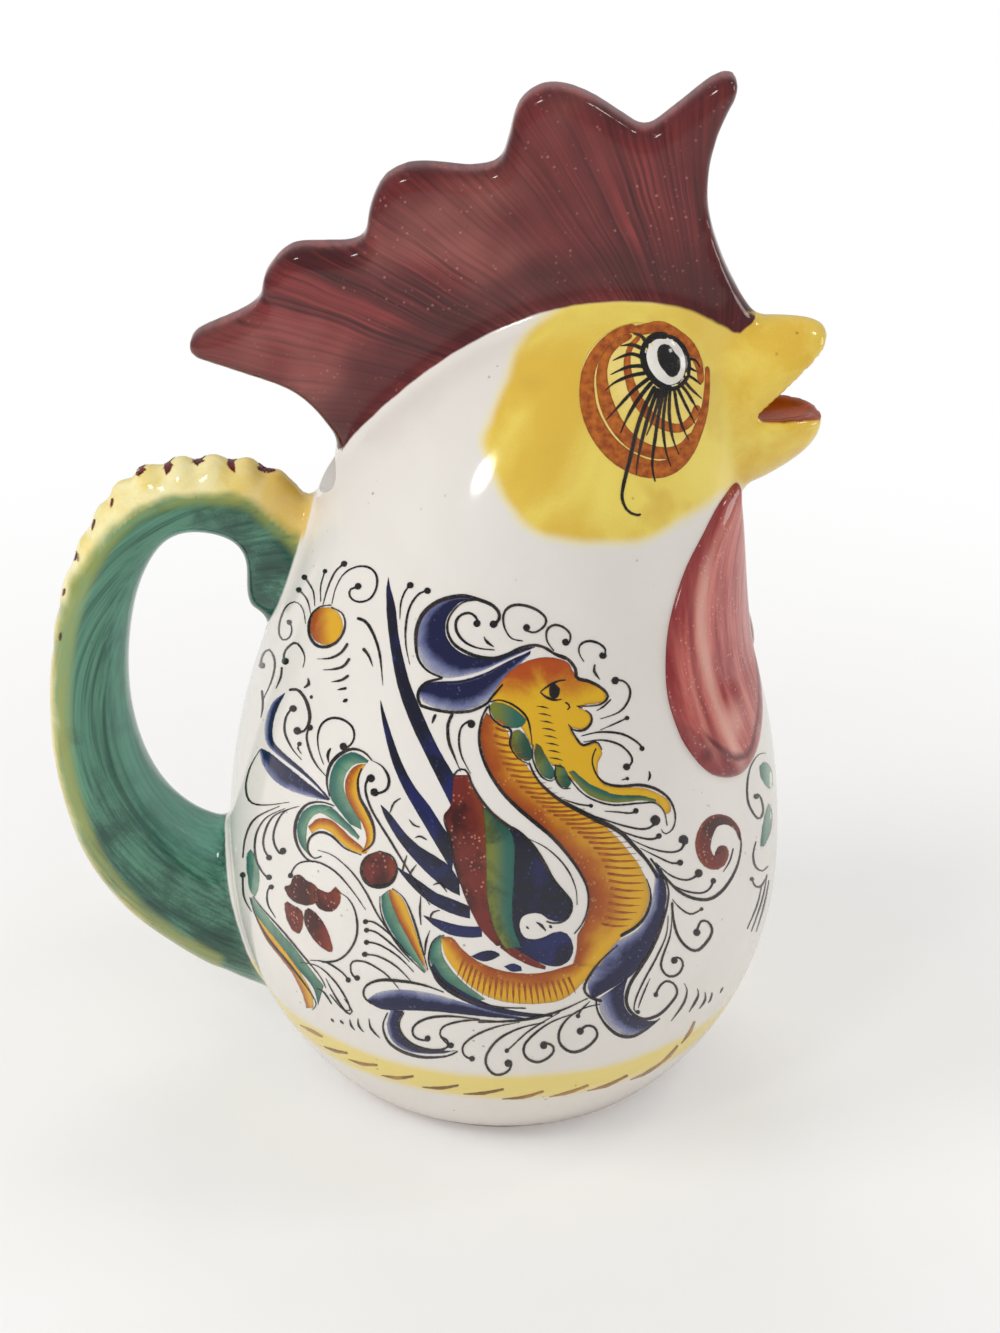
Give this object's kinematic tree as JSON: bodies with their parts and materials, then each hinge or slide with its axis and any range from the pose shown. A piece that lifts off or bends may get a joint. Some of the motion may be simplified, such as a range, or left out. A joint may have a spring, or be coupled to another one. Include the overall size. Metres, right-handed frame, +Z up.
{
  "type": "pitcher",
  "caption": "Rooster-shaped glazed ceramic pitcher with a tall comb, an open pouring beak, raised wattles and a looped handle with a fluted crest.",
  "frame": {"origin": "centre of the foot's flat underside", "axes": "+X the way the rooster looks, +Z up, -Y its right side"},
  "size_m": [0.1856, 0.138, 0.2581],
  "materials": {
    "bare_clay": "bare fired clay, matt",
    "white_glaze": "glossy tin glaze, warm white, hand painted",
    "maroon_glaze": "glossy glaze, brushed dark maroon with pink rims",
    "yellow_glaze": "glossy glaze, ochre yellow",
    "rose_glaze": "glossy glaze, rose red",
    "teal_glaze": "glossy glaze, mottled teal green",
    "cream_glaze": "glossy glaze, cream yellow with red-brown dabs"
  },
  "bodies": {
    "root": {"foot": "bare_clay", "belly": "white_glaze", "head": "white_glaze", "comb": "maroon_glaze", "upper_beak": "yellow_glaze", "lower_beak": "yellow_glaze", "right_eye": "white_glaze", "left_eye": "white_glaze", "right_wattle": "rose_glaze", "left_wattle": "rose_glaze", "handle": "teal_glaze", "handle_crest": "cream_glaze"}
  },
  "joints": []
}
